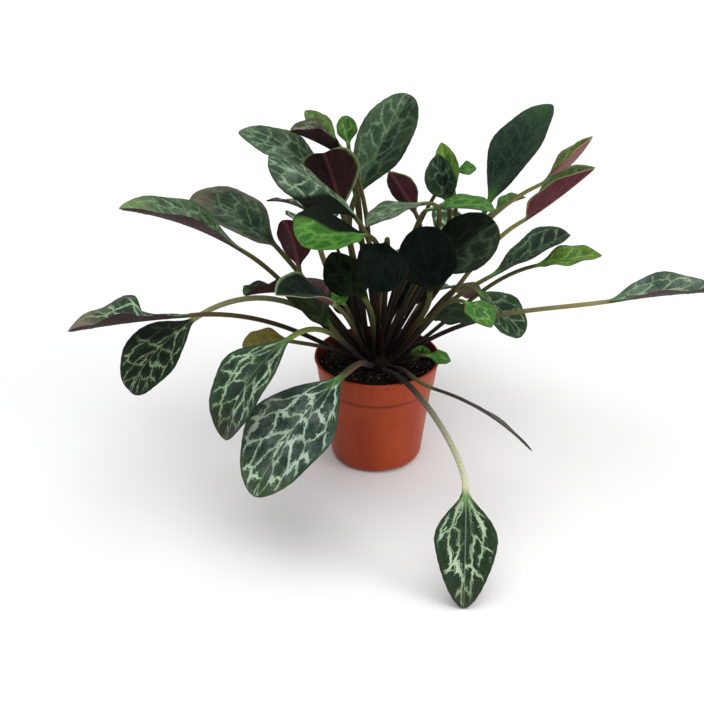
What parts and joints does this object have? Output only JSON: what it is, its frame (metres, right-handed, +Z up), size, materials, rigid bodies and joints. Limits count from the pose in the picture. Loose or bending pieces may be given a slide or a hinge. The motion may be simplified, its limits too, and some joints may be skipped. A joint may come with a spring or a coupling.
{
  "type": "potted primulina",
  "caption": "House plant with silver-veined oval leaves on long stalks, in a small round tapered nursery pot filled with soil.",
  "frame": {"origin": "middle of the pot's flat underside", "axes": "+Z up, +X along the widest spread of the leaves, -Y towards the side seen in the picture"},
  "size_m": [0.3452, 0.2548, 0.1988],
  "materials": {
    "pot": "satin",
    "soil": "matte",
    "crown": "matte",
    "leaf": "satin",
    "young_leaf": "satin",
    "old_leaf": "satin"
  },
  "bodies": {
    "root": {"crown": "crown", "leaf_back_hanging": "leaf", "leaf_back_left": "leaf", "leaf_back_low": "leaf", "leaf_back_middle": "leaf", "leaf_back_right": "leaf", "leaf_front_big": "leaf", "leaf_front_bright": "young_leaf", "leaf_front_dark": "leaf", "leaf_front_edge_on": "leaf", "leaf_front_folded": "leaf", "leaf_front_hanging": "leaf", "leaf_front_left": "leaf", "leaf_front_low": "leaf", "leaf_front_shaded": "leaf", "leaf_front_small": "young_leaf", "leaf_inner_left": "leaf", "leaf_inner_right": "leaf", "leaf_inner_young": "young_leaf", "leaf_left_back": "leaf", "leaf_left_dark": "leaf", "leaf_left_hanging": "leaf", "leaf_left_long": "leaf", "leaf_left_low": "leaf", "leaf_left_purple": "leaf", "leaf_left_tip": "leaf", "leaf_left_yellow": "old_leaf", "leaf_middle_broad": "leaf", "leaf_middle_dark": "leaf", "leaf_middle_grey": "leaf", "leaf_middle_level": "young_leaf", "leaf_middle_purple": "leaf", "leaf_middle_round": "leaf", "leaf_middle_tip": "young_leaf", "leaf_middle_young": "young_leaf", "leaf_right_back": "leaf", "leaf_right_bright": "young_leaf", "leaf_right_drooping": "leaf", "leaf_right_far": "leaf", "leaf_right_pink": "leaf", "leaf_right_purple": "leaf", "leaf_right_short": "leaf", "leaf_right_tall": "leaf", "leaf_right_under": "leaf", "leaf_rim_round": "leaf", "leaf_rim_young": "young_leaf", "leaf_top_band": "leaf", "leaf_top_bright": "young_leaf", "leaf_top_brown": "leaf", "leaf_top_left": "leaf", "leaf_top_purple": "leaf", "leaf_top_small": "young_leaf", "leaf_top_tall": "leaf", "pot": "pot", "soil": "soil"}
  },
  "joints": []
}
